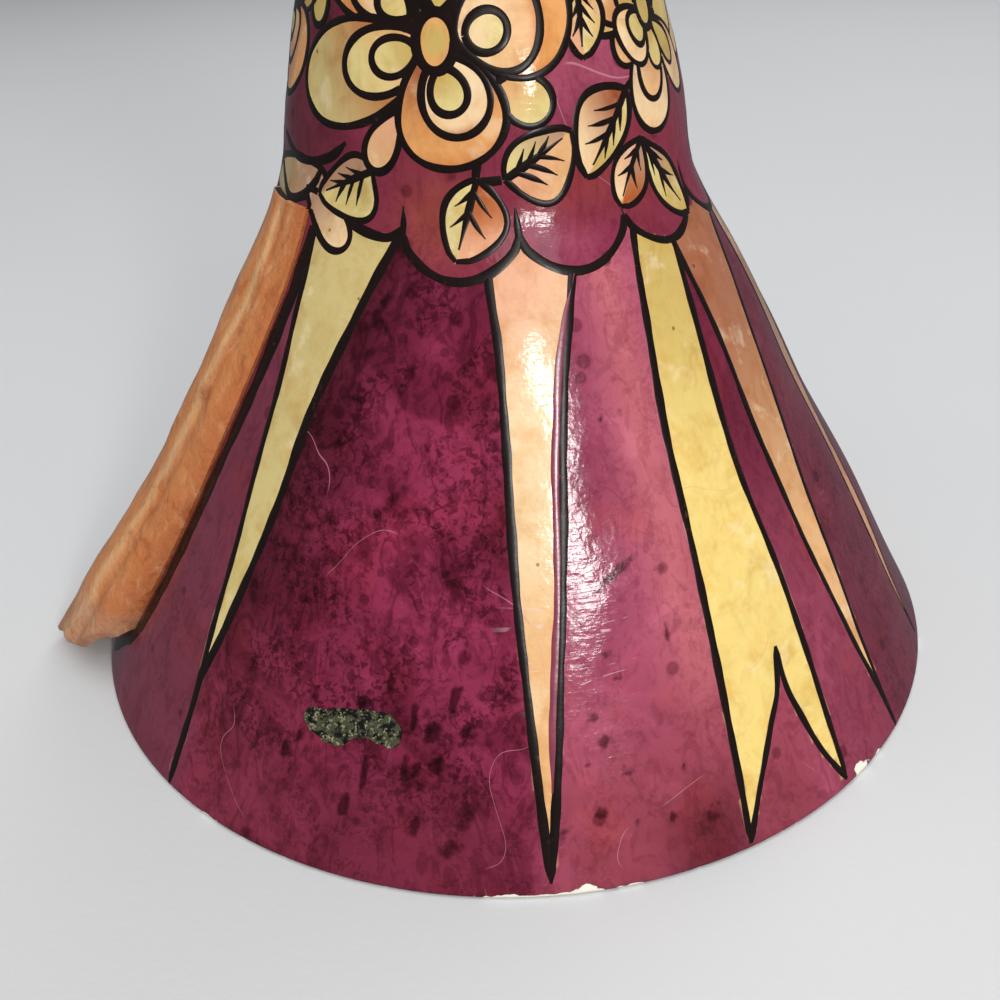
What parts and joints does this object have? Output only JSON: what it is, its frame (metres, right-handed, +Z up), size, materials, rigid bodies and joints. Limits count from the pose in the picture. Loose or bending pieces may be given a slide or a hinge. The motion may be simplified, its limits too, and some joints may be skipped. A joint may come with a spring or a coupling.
{
  "type": "papier-mache figure",
  "caption": "Painted papier-mache figure of a lady in a flared bell gown with an orange sash, an ornament that stands on its flat base.",
  "frame": {"origin": "centre of the flat round underside of the gown", "axes": "+Z up along the figure's height, the figure faces -Y, and its sash hangs on the -X side"},
  "size_m": [0.2411, 0.23, 0.3795],
  "materials": {
    "painted_papier_mache": "wine, yellow and orange glaze paint with black brush outlines under a glossy varnish"
  },
  "bodies": {
    "root": {"figure": "painted_papier_mache"}
  },
  "joints": []
}
